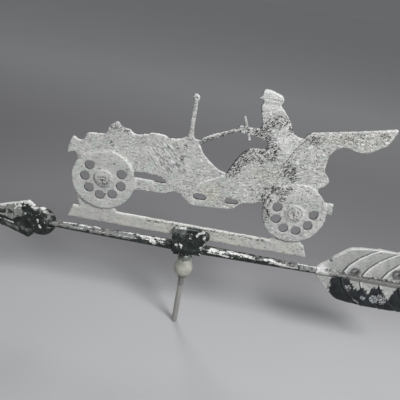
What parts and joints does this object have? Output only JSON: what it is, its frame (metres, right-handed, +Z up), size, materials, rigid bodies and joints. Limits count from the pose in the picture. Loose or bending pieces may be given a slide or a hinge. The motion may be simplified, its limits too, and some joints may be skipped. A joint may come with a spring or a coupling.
{
  "type": "weathervane",
  "caption": "Weathervane with a flat cast motor car and driver clamped above an arrow with a ridged head and a leaf-lobed tail, turning on a slim spindle over a round spacer ball.",
  "frame": {"origin": "centre of the spindle's foot, at its lower end", "axes": "+Z up the spindle, +X towards the arrow's tail, -Y towards the side that the wheels stand out of"},
  "size_m": [0.639, 0.0272, 0.3604],
  "materials": {
    "figure_metal": "aged matt casting",
    "dark_metal": "old black paint, worn to grey and white",
    "steel": "dull steel",
    "ball_glaze": "opaque off-white, satin"
  },
  "bodies": {
    "mast": {"spindle": "steel", "stop_pin": "steel", "ball_washer": "steel", "pivot_ball": "steel"},
    "ball": {"spacer_ball": "ball_glaze"},
    "vane": {"saddle_block": "dark_metal", "car_figure": "figure_metal", "figure_rivet": "steel", "figure_bolt": "steel", "figure_nut": "steel", "shaft_screw": "steel", "arrow_shaft": "dark_metal", "arrowhead": "dark_metal", "head_pin": "steel", "tail_feather": "dark_metal", "tail_rivet_front": "steel", "tail_rivet_rear": "steel"}
  },
  "joints": [
    {"name": "vane_turn", "type": "hinge", "parent": "mast", "child": "vane", "pos_m": [0, 0, 0.13], "axis": [0, 0, 1], "continuous": true},
    {"name": "ball_spin", "type": "hinge", "parent": "mast", "child": "ball", "pos_m": [0, 0, 0.095], "axis": [0, 0, 1], "continuous": true}
  ]
}
